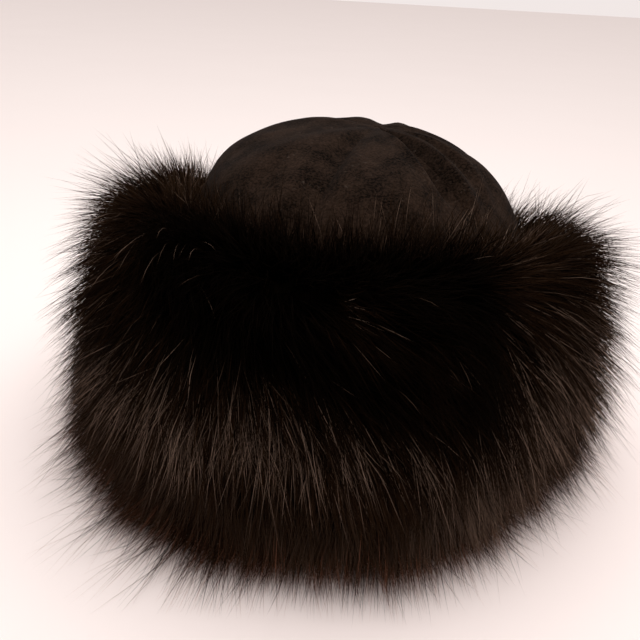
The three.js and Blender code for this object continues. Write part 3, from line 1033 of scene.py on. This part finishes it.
for name in coat_pieces:
    clumps = coat_count // coat_clump
    clump_turn, clump_at = scatter_roots(clumps, coat_front_share)
    clump = np.arange(coat_count) % clumps
    turn = clump_turn[clump] + np.degrees(hair_seed.normal(0, clump_spread / girth_radius, coat_count))
    at = np.clip(clump_at[clump] + hair_seed.normal(0, clump_spread / outline_length, coat_count), 0, 1)
    length = np.interp(at, hair_lay["at"], hair_lay["length"])
    length = length * (1 + hair_seed.normal(0, clump_length_spread, clumps))[clump]
    ragged = coat_ragged + low_ragged * smooth((low_ragged_at - at) / low_ragged_ease)
    length = length * (coat_length + ragged * hair_seed.uniform(-1, 1, coat_count))
    length = length * (1 - low_cut * smooth((low_cut_at - at) / low_cut_ease))
    lift = hair_seed.normal(0, coat_lift_spread, clumps)[clump]
    calmer, wilder, finer = texture_at(turn, at)
    tone = hair_seed.normal(0, clump_tone_spread, clumps)[clump]
    tone = tone + hair_seed.normal(0, coat_tone_spread, coat_count)
    more_tone, more_pale = lit_and_shaded_at(turn, at)
    # pale hairs are painted highlights, and the patches add painted light and shade
    pale = hair_seed.uniform(0, 1, coat_count) < pale_share + more_pale
    tone = coat_tone + tone * (1 - calmer) + more_tone
    tone = tone + pale * (1 - calmer) * hair_seed.uniform(*pale_tones, coat_count)
    # the tone is darkened by the painted shade of the black front
    tone = np.clip(tone * (1 - coat_painted_shade * painted_shade_at(turn, at)), *tone_limits)
    width = hair_seed.uniform(*coat_widths, coat_count) * (1 - pale_slimmer * pale) * (1 - finer)
    hairs = {"turn": turn, "at": at, "clump_turn": clump_turn[clump], "clump_at": clump_at[clump]}
    hairs |= {"length": length, "width": width, "lift": lift, "tone": tone}
    hairs["gather"] = hair_seed.uniform(*coat_gathers, coat_count)
    hairs["stray"] = coat_stray + inner_stray * smooth((at - inner_stray_at) / inner_stray_ease) + wilder
    grow_hair(name, hair_material, coat_rings, hairs)

# The guard hairs: finer and longer single hairs of the same skin, which stand out of the coat by 1 to 2 cm
# and are painted paler, as painted highlight for the light they catch.
guard_rings = {"along": (0, 0.35, 0.7, 1), "width": (0.8, 1.0, 0.7)}
guard_count = 6500
guard_front_share = 0.2
guard_longer = (1.05, 1.5)
guard_widths = (0.00016, 0.00030)
guard_tone = 0.58
guard_calm_darker = 0.26
guard_tone_spread = 0.18
guard_calm_alike = 0.8
guard_painted_shade = 0.9
guard_lift = 4
guard_lift_spread = 9
guard_stray = 0.15
turn, at = scatter_roots(guard_count, guard_front_share)
calmer, wilder, finer = texture_at(turn, at)
hairs = {"turn": turn, "at": at, "stray": guard_stray + wilder / 2}
hairs["length"] = np.interp(at, hair_lay["at"], hair_lay["length"])
hairs["length"] = hairs["length"] * hair_seed.uniform(*guard_longer, guard_count)
hairs["width"] = hair_seed.uniform(*guard_widths, guard_count)
tone = hair_seed.normal(0, guard_tone_spread, guard_count) * (1 - guard_calm_alike * calmer)
tone = guard_tone - guard_calm_darker * calmer + tone
# the guard hairs take the same painted shade of the black front
hairs["tone"] = np.clip(tone * (1 - guard_painted_shade * painted_shade_at(turn, at)), *tone_limits)
hairs["lift"] = hair_seed.normal(guard_lift, guard_lift_spread, guard_count)
grow_hair("fur_guard_hair", hair_material, guard_rings, hairs)

# The fringe: the thinnest hair, which hangs from the belly to the ground all round. Its tips are painted
# pale brown, as painted light for the light that comes through them.
fringe_rings = {"along": (0, 0.5, 1), "width": (0.8, 1.0)}
fringe_count = 7400
fringe_front_share = 0.5
fringe_low = 0.08
fringe_high = 0.30
fringe_longer = (0.95, 1.5)
fringe_widths = (0.00016, 0.00028)
fringe_lift = 2
fringe_lift_spread = 8
fringe_stray = 0.16
fringe_root = (0.0180, 0.0075, 0.0034, 1)
fringe_brown = (0.1600, 0.0600, 0.0340, 1)
fringe_pale = (0.5000, 0.2250, 0.1400, 1)
fringe_finish = new_material("backlit_fringe_hair", roughness=0.6, shine=0.01)
fringe_material, fringe_shader, fringe_nodes = fringe_finish
fringe_along, fringe_tone = read_hair_map(fringe_nodes)
# painted backlight: the tips are painted paler towards their ends
painted_backlight = fringe_along.ramp((0.5, 0.0), (0.75, 0.4), (0.92, 1.0))
feed(fringe_shader, "Base Color", painted_backlight.mix(fringe_root, fringe_tone.mix(fringe_brown, fringe_pale)))

turn, _ = scatter_roots(fringe_count, fringe_front_share)
at = hair_seed.uniform(fringe_low, fringe_high, fringe_count)
hairs = {"turn": turn, "at": at, "stray": fringe_stray}
hairs["length"] = np.interp(at, hair_lay["at"], hair_lay["length"])
hairs["length"] = hairs["length"] * hair_seed.uniform(*fringe_longer, fringe_count)
hairs["width"] = hair_seed.uniform(*fringe_widths, fringe_count)
hairs["tone"] = hair_seed.uniform(*tone_limits, fringe_count)
hairs["lift"] = hair_seed.normal(fringe_lift, fringe_lift_spread, fringe_count)
grow_hair("fur_fringe_hair", fringe_material, fringe_rings, hairs)

# A few single pale hairs that have come loose: they hang in curves over the horn on the
# wearer's right, lie across the black front and stand up before the crown.
# turn, place up the outline, spread of each, count, length, degrees of lift, sag, tone
stray_groups = [
    (-52, 0.76, 9, 0.06, 16, 0.044, 12, 1.6, 0.66),
    (-12, 0.62, 14, 0.06, 24, 0.034, -4, 1.0, 0.54),
    (10, 0.93, 8, 0.03, 22, 0.034, 0, 0.5, 0.66),
    (36, 0.54, 8, 0.06, 34, 0.042, 4, 1.6, 0.86),
]
stray_rings = {"along": (0, 0.2, 0.4, 0.6, 0.8, 1), "width": (0.8, 1.0, 1.0, 0.9, 0.7)}
stray_longer = (0.75, 1.2)
stray_widths = (0.00018, 0.00030)
stray_tone_spread = 0.1
stray_wild = 0.22
stray_at_limits = (0.02, 0.99)
rows = np.repeat(np.array(stray_groups), [row[4] for row in stray_groups], axis=0)
group_turn, group_at, turn_spread, at_spread, _, group_length, lift, sag, group_tone = rows.T
count = len(rows)
turn = group_turn + turn_spread * hair_seed.normal(0, 1, count)
at = np.clip(group_at + at_spread * hair_seed.normal(0, 1, count), *stray_at_limits)
hairs = {"turn": turn, "at": at, "lift": lift, "sag": sag, "stray": stray_wild}
hairs["length"] = group_length * hair_seed.uniform(*stray_longer, count) + shorter(turn, at)
hairs["width"] = hair_seed.uniform(*stray_widths, count)
hairs["tone"] = group_tone + hair_seed.uniform(-stray_tone_spread, stray_tone_spread, count)
grow_hair("fur_stray_hair", hair_material, stray_rings, hairs)
